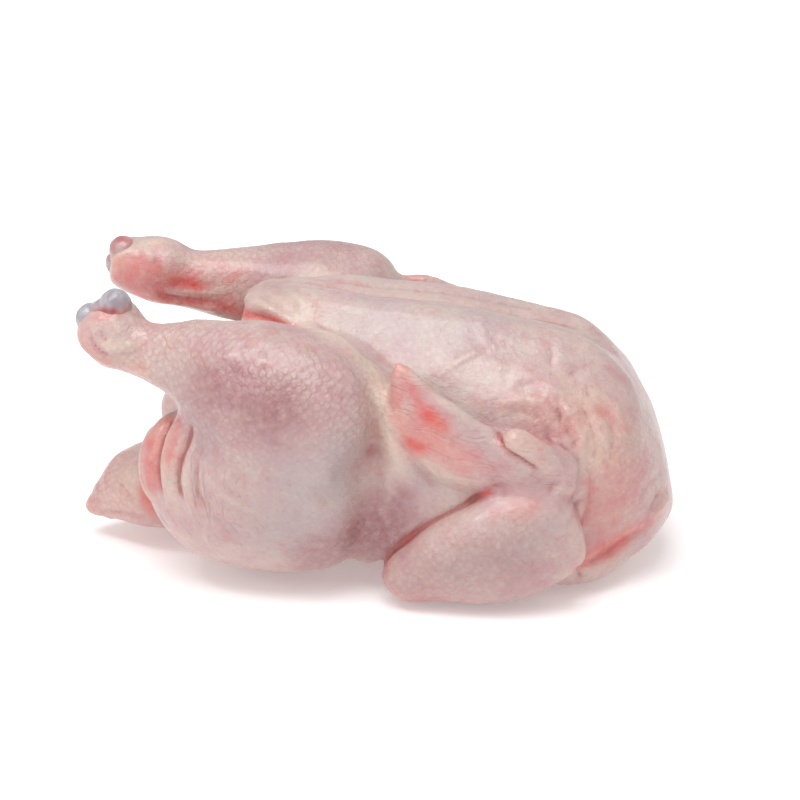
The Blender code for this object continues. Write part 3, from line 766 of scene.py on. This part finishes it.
class Value:
    """An output of a shader node. Arithmetic on it adds the Math nodes."""

    def __init__(self, graph, socket):
        self.graph, self.socket = graph, socket

    def _math(self, operation, *others):
        return self.graph.node("ShaderNodeMath", {"operation": operation}, dict(enumerate(others)))

    def __add__(self, other):
        return self._math("ADD", self, other)

    def __radd__(self, other):
        return self._math("ADD", other, self)

    def __sub__(self, other):
        return self._math("SUBTRACT", self, other)

    def __rsub__(self, other):
        return self._math("SUBTRACT", other, self)

    def __mul__(self, other):
        return self._math("MULTIPLY", self, other)

    def __rmul__(self, other):
        return self._math("MULTIPLY", other, self)

    def __truediv__(self, other):
        return self._math("DIVIDE", self, other)

    def __rtruediv__(self, other):
        return self._math("DIVIDE", other, self)

    def magnitude(self):
        return self._math("ABSOLUTE", self)

    def clipped(self, low=0.0, high=1.0):
        return self._math("MINIMUM", self._math("MAXIMUM", self, low), high)


class Graph:
    """A material's nodes, each made by one method from its type, its settings and what its inputs take."""

    def __init__(self, name):
        self.material = bpy.data.materials.new(name)
        self.material.use_nodes = True
        self.tree = self.material.node_tree
        self.tree.nodes.clear()

    def node(self, kind, settings, inputs, output=0):
        made = self.tree.nodes.new(kind)
        for key, value in settings.items():
            setattr(made, key, value)
        for key, value in inputs.items():
            if isinstance(value, Value):
                self.tree.links.new(value.socket, made.inputs[key])
            else:
                made.inputs[key].default_value = value
        return Value(self, made.outputs[output]) if made.outputs else None

    def scaled(self, vector, factors):
        return self.node("ShaderNodeVectorMath", {"operation": "MULTIPLY"}, {0: vector, 1: factors})

    def place(self):
        """The place on the piece, in millimetres."""
        return self.scaled(self.node("ShaderNodeTexCoord", {}, {}, "Object"), (1000, 1000, 1000))

    def parts(self, vector):
        """The three numbers of a vector."""
        return [self.node("ShaderNodeSeparateXYZ", {}, {0: vector}, axis) for axis in range(3)]

    def noise(self, place, size, detail=2.0, roughness=0.5, distortion=0.0, output=0):
        """Noise with lumps of this size, which is one number or one for each axis."""
        vector = self.scaled(place, (1 / np.broadcast_to(size, 3)).tolist())
        return self.node(
            "ShaderNodeTexNoise", {},
            {"Vector": vector, "Scale": 1.0, "Detail": detail, "Roughness": roughness, "Distortion": distortion},
            output,
        )

    def eased(self, value, low, high):
        """0 at low, 1 at high, and smooth between; low may be the larger."""
        inputs = {"Value": value, "From Min": low, "From Max": high}
        return self.node("ShaderNodeMapRange", {"interpolation_type": "SMOOTHSTEP"}, inputs)

    def mixed(self, share, first, second):
        """A colour between two colours."""
        return self.node("ShaderNodeMix", {"data_type": "RGBA"}, {0: share, 6: first, 7: second}, 2)

    def layered(self, tone, layers):
        """A colour with others laid over it in turn, each by its share."""
        for share, over in layers:
            tone = self.mixed(share, tone, colour(over))
        return tone

    def attribute(self, name, output="Fac"):
        return self.node("ShaderNodeAttribute", {"attribute_name": name}, {}, output)

    def bump(self, height):
        """Relief of this height in millimetres."""
        return self.node("ShaderNodeBump", {}, {"Height": height, "Strength": 1.0, "Distance": MM})

    def finish(self, inputs):
        shader = self.node("ShaderNodeBsdfPrincipled", {}, inputs)
        self.node("ShaderNodeOutputMaterial", {}, {"Surface": shader})
        return self.material


def colour(screen):
    """A colour given as screen values from 0 to 255, as the shader's linear values."""
    c = np.array(screen) / 255
    return (*np.where(c <= 0.04045, c / 12.92, ((c + 0.055) / 1.055) ** 2.4).tolist(), 1.0)


# The bird's colours, as screen values.
SKIN_PALE, SKIN_PINK = (196, 173, 165), (190, 157, 157)
SKIN_ROSY, SKIN_CREAM = (190, 131, 125), (206, 185, 172)
FAT_CREAM, THIGH_GREY = (214, 196, 177), (170, 160, 162)
# The first is dark meat under the skin and also painted shade low on the thighs and forearms.
DARK_MEAT_AND_SHADE_TONE, FLUSH = (150, 102, 106), (206, 84, 76)
# The first of these is painted shade in the creases and also a red tint on the crackle; the second is painted shade
# between the goose bumps.
FOLD_RED_AND_SHADE, SHADE_BETWEEN_PITS, HOLLOW_RED = (150, 68, 60), (158, 106, 106), (178, 92, 84)
GRISTLE_GREY, GRISTLE_SHADE, GRISTLE_WHITE = (168, 164, 169), (146, 137, 142), (205, 202, 204)
GRISTLE_FLESH, MARROW_RED = (206, 124, 116), (150, 40, 40)

# The distance between feather pits, their disorder, and the heights of the skin's fine relief.
PIT_SPACING, PIT_SCATTER = 2.9, 0.55
MOUND_HEIGHT, PIT_DEPTH = 0.32, 0.10
PLEAT_RELIEF, STREAK_RELIEF = 0.38, 0.40
CRACKLE_RELIEF, CRINKLE_RELIEF, GRAIN_RELIEF, BLOTCH_RELIEF = 0.26, 0.10, 0.05, 0.22


def seen_three_ways(g, place, facing, pattern):
    """A flat pattern laid on from above, the side and the ends, each weighted by the eighth power of the normal."""
    share = facing
    for _ in range(3):
        share = g.scaled(share, share)
    x, y, z = g.parts(share)
    px, py, pz = g.parts(place)
    flat = [
        g.node("ShaderNodeCombineXYZ", {}, {0: 0.8 * first + 0.6 * second, 1: 0.8 * second - 0.6 * first, 2: offset})
        for first, second, offset in ((py, pz, 11.3), (px, pz, 47.9), (px, py, 83.1))
    ]
    return sum((pattern(at) * weight for at, weight in zip(flat, (x, y, z))), 0.0) / (x + y + z)


def skin_finish():
    """Damp plucked skin: mottled pale pink, flushed or dark where the attributes say, with pits and wrinkles; painted
    shade in its creases, between its pits and low on the limbs, and painted light on its ridges.
    """
    g = Graph("raw_skin")
    place = g.place()
    across, facing = g.attribute("across", "Vector"), g.attribute("facing", "Vector")
    flushed, dark, grey, cream, pitted, creased, wrinkled, inside = (
        g.attribute(name)
        for name in ("flushed", "dark_meat_and_shade", "pale_grey", "cream", "pitted", "creased", "wrinkled", "inside")
    )
    broad = g.noise(place, 24)
    patchy = g.noise(place, 7, 3, 0.6)
    blotchy = g.noise(place, 3.2, 2, 0.55)
    grain = g.noise(place, 1, 3, 0.65)
    sway = g.scaled(g.noise(place, 9, output="Color"), (3, 3, 3))
    warped = g.node("ShaderNodeVectorMath", {"operation": "ADD"}, {0: place, 1: sway})
    pores = seen_three_ways(
        g, g.scaled(warped, (1 / PIT_SPACING,) * 3), facing,
        lambda at: g.node("ShaderNodeTexVoronoi", {"voronoi_dimensions": "2D"},
                          {"Vector": at, "Scale": 1.0, "Randomness": PIT_SCATTER}),
    )
    pit, mound, between = g.eased(pores, 0.26, 0.06), g.eased(pores, 0.60, 0.18), g.eased(pores, 0.16, 0.48)
    streaks = g.noise(across, 1.7, 3, 0.6, 0.6)
    pleat = 1 - (g.noise(across, 3.4, 1, 0.5, 0.8) - 0.5).magnitude() * 9
    crackle = g.noise(warped, 2.2, 3, 0.6, 0.7)
    crinkle = 1 - (g.noise(warped, (3.6, 3.6, 1.5), 2, 0.6, 0.9) - 0.5).magnitude() * 7

    tone = g.layered(colour(SKIN_PALE), (
        (g.eased(broad, 0.36, 0.64), SKIN_PINK),
        (g.eased(patchy, 0.48, 0.72) * 0.5, SKIN_ROSY),
        (g.eased(patchy, 0.47, 0.28) * 0.5, SKIN_CREAM),
        ((cream * (0.6 + 0.7 * blotchy)).clipped() * 0.9, FAT_CREAM),
        ((grey * (0.65 + 0.6 * broad)).clipped() * 0.9, THIGH_GREY),
        # Dark meat, and painted shade low on the thighs and forearms.
        ((dark * (0.35 + 1.2 * blotchy)).clipped() * 0.95, DARK_MEAT_AND_SHADE_TONE),
        ((flushed * (0.4 + 1.1 * patchy)).clipped(), FLUSH),
        # Painted shade: the deeper a point lies in a crease, the more dark red it takes.
        (g.eased(creased, 0.05, 0.6) * 0.7, FOLD_RED_AND_SHADE),
        # Painted light: ridges turn paler cream.
        (g.eased(creased, -0.02, -0.3) * 0.35, SKIN_CREAM),
        # Painted shade in the low gaps between the goose-bump mounds, most on pitted skin.
        (between * (0.10 + 0.40 * pitted).clipped() * 0.55, SHADE_BETWEEN_PITS),
        (g.eased(crackle, 0.52, 0.74) * 0.18, FOLD_RED_AND_SHADE),
        (inside * 0.9, HOLLOW_RED),
    ))
    smoother = (1 - 0.5 * wrinkled) * (1 - 0.75 * pitted)
    relief = (
        (mound * MOUND_HEIGHT - pit * PIT_DEPTH) * (0.10 + 0.9 * pitted)
        + (PLEAT_RELIEF * pleat.clipped() + STREAK_RELIEF * streaks) * wrinkled
        + (CRACKLE_RELIEF * crackle + CRINKLE_RELIEF * crinkle.clipped()) * smoother
        + GRAIN_RELIEF * grain
        + BLOTCH_RELIEF * blotchy
    )
    return g.finish({
        "Base Color": tone,
        "Roughness": (0.34 + 0.26 * grain - 0.06 * flushed - 0.10 * pitted).clipped(0.18, 0.9),
        "Normal": g.bump(relief),
        "Subsurface Weight": 0.3,
        "Subsurface Radius": (1.0, 0.42, 0.30),
        "Subsurface Scale": 0.003,
        "Coat Weight": 0.4,
        "Coat Roughness": 0.15,
    })


def gristle_finish():
    """Wet gristle over bone: greyish white, rosier towards the skin, with a thin gloss."""
    g = Graph("gristle")
    place = g.place()
    broad, fine = g.noise(place, 5), g.noise(place, 1.2, 3, 0.6)
    tone = g.layered(colour(GRISTLE_GREY), (
        (g.eased(broad, 0.35, 0.65), GRISTLE_SHADE),
        (g.eased(fine, 0.55, 0.75) * 0.3, GRISTLE_WHITE),
        ((g.attribute("flesh") * (0.5 + broad)).clipped(), GRISTLE_FLESH),
        ((g.attribute("marrow") * (0.5 + broad)).clipped(), MARROW_RED),
    ))
    return g.finish({
        "Base Color": tone,
        "Roughness": (0.22 + 0.22 * fine).clipped(0.1, 0.8),
        "Normal": g.bump(0.5 * broad + 0.12 * fine),
        "Subsurface Weight": 0.4,
        "Subsurface Radius": (1.0, 0.6, 0.55),
        "Subsurface Scale": 0.002,
        "Coat Weight": 0.4,
        "Coat Roughness": 0.12,
    })


# The floor's two whites, and its painted glow: fainter and a little pink near the bird, a painted shadow tinted with
# painted red bounce light.
PAPER_WARM, PAPER_WHITE = (244, 243, 243), (248, 247, 247)
GLOW_NEAR, GLOW_FAR = (0.43, 0.395, 0.395, 1.0), (1.0, 1.0, 1.0, 1.0)
GLOW_BETWEEN, GLOW_STRENGTH = (160, 900), 0.6


def floor_finish():
    """Plain white studio paper, with a faint tooth, lit by its own painted glow, which fades near the bird into a
    painted shadow.
    """
    g = Graph("studio_paper")
    place = g.place()
    tooth = g.noise(place, 4)
    away = g.node("ShaderNodeVectorMath", {"operation": "LENGTH"}, {0: place}, "Value")
    return g.finish({
        "Base Color": g.mixed(tooth, colour(PAPER_WARM), colour(PAPER_WHITE)),
        "Roughness": 0.8,
        "Specular IOR Level": 0.15,
        "Normal": g.bump(0.02 * tooth),
        # Painted light: the paper glows, less and pinker near the bird, which paints its shadow there.
        "Emission Color": g.mixed(g.eased(away, *GLOW_BETWEEN), GLOW_NEAR, GLOW_FAR),
        "Emission Strength": GLOW_STRENGTH,
    })


# Where flesh and marrow show on the shank ends, in the same way.
KNUCKLE_FLESH = [
    ((-111, -48, 118), (-99, -48, 119), 3.5, 0.8), ((-108, -42, 106), 7, 0.8), ((-116, 41, 125), 12, 0.75),
]
KNUCKLE_MARROW = [
    ((-109, -50, 121), (-104, -51, 121), 1.7, 0.9), ((-117, -47.5, 113), 2, 0.9),
    ((-110.5, -46, 119.5), 2.3, 0.95), ((-120, 37, 129.5), 3, 0.7),
]
GRISTLE_LUMPS = ((0.55, 6, 8), (0.2, 2.4, 9))


def build_knuckle(name, side):
    """A shank end fused at a fine step, with the shallow groove and dimples of a gristle cap."""
    knuckle = placed(name, joined_mesh(name, knuckle_surfaces(side)))
    with_modifier(knuckle, "REMESH", mode="VOXEL", voxel_size=GRISTLE_STEP)
    mesh = knuckle.data
    smooth(mesh, 4, 0.5)
    fill_creases(mesh, 8, 0.5)
    raise_skin(mesh, uneven(mesh_points(mesh) / MM, GRISTLE_LUMPS))
    smooth(mesh, 1, 0.5)
    points = mesh_points(mesh) / MM
    set_attribute(mesh, "flesh", painted(points, KNUCKLE_FLESH))
    set_attribute(mesh, "marrow", painted(points, KNUCKLE_MARROW))
    set_points(mesh, (points - LAYOUT_MIDDLE) * MM)
    mesh.shade_smooth()
    return knuckle


def build_floor(half_side=30.0):
    mesh = bpy.data.meshes.new("studio_floor")
    corners = [(x * half_side, y * half_side, 0) for x, y in ((-1, -1), (1, -1), (1, 1), (-1, 1))]
    mesh.from_pydata(corners, [], [(0, 1, 2, 3)])
    floor = placed("studio_floor", mesh)
    mesh.materials.append(floor_finish())


# The camera: bearing and height of the line of sight, what it looks at in the layout, distance, lens and reach.
CAMERA_BEARING, CAMERA_HEIGHT = math.radians(4), math.radians(19)
LOOKED_AT = np.array([10.0, 0.0, 68.0])
CAMERA_DISTANCE = 830.0
LENS, SENSOR = 85.0, 36.0
CLIP_START, CLIP_END = 0.01, 100

# The lamps: name, place, size, power and tint. Each faces the bird's middle.
LAMPS = (
    ("overhead", (-0.1, -0.38, 1.15), 0.8, 10.5, (0.94, 0.98, 1.0)),
    ("front_left", (-1.1, -1.1, 0.9), 0.6, 2.2, (1, 1, 1)),
    ("window", (-0.55, -0.35, 0.95), 0.14, 1.0, (1, 1, 1)),
)
LIT_MIDDLE = Vector((0, 0, 0.06))
WORLD_STRENGTH = 0.57


def turn_back_to(thing, back):
    """Turns a camera or a lamp so that its back points this way."""
    thing.rotation_mode = "QUATERNION"
    thing.rotation_quaternion = back.to_track_quat("Z", "Y")


def set_camera():
    back = Vector((
        math.sin(CAMERA_BEARING) * math.cos(CAMERA_HEIGHT),
        -math.cos(CAMERA_BEARING) * math.cos(CAMERA_HEIGHT),
        math.sin(CAMERA_HEIGHT),
    ))
    camera = placed("camera", bpy.data.cameras.new("camera"))
    camera.data.lens, camera.data.sensor_width = LENS, SENSOR
    camera.data.clip_start, camera.data.clip_end = CLIP_START, CLIP_END
    camera.location = Vector(((LOOKED_AT - LAYOUT_MIDDLE) * MM).tolist()) + back * CAMERA_DISTANCE * MM
    turn_back_to(camera, back)
    bpy.context.scene.camera = camera


def set_light():
    for name, place, size, power, tint in LAMPS:
        lamp = bpy.data.lights.new(name, "AREA")
        lamp.size, lamp.energy, lamp.color = size, power, tint
        light = placed(name, lamp)
        light.location = place
        turn_back_to(light, Vector(place) - LIT_MIDDLE)
    world = bpy.data.worlds.new("studio")
    bpy.context.scene.world = world
    world.use_nodes = True
    background = world.node_tree.nodes["Background"]
    background.inputs["Color"].default_value = (1, 1, 1, 1)
    background.inputs["Strength"].default_value = WORLD_STRENGTH
    bpy.context.scene.view_settings.view_transform = "Standard"


set_camera()
set_light()
build_floor()

skin = build_skin()
skin.data.materials.clear()
skin.data.materials.append(skin_finish())
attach(skin, "root")
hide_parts("chicken")

gristle = gristle_finish()
for name, side in (("shank_end_near", -1), ("shank_end_far", 1)):
    knuckle = build_knuckle(name + "_gristle", side)
    knuckle.data.materials.append(gristle)
    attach(knuckle, "root")
    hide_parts(name)
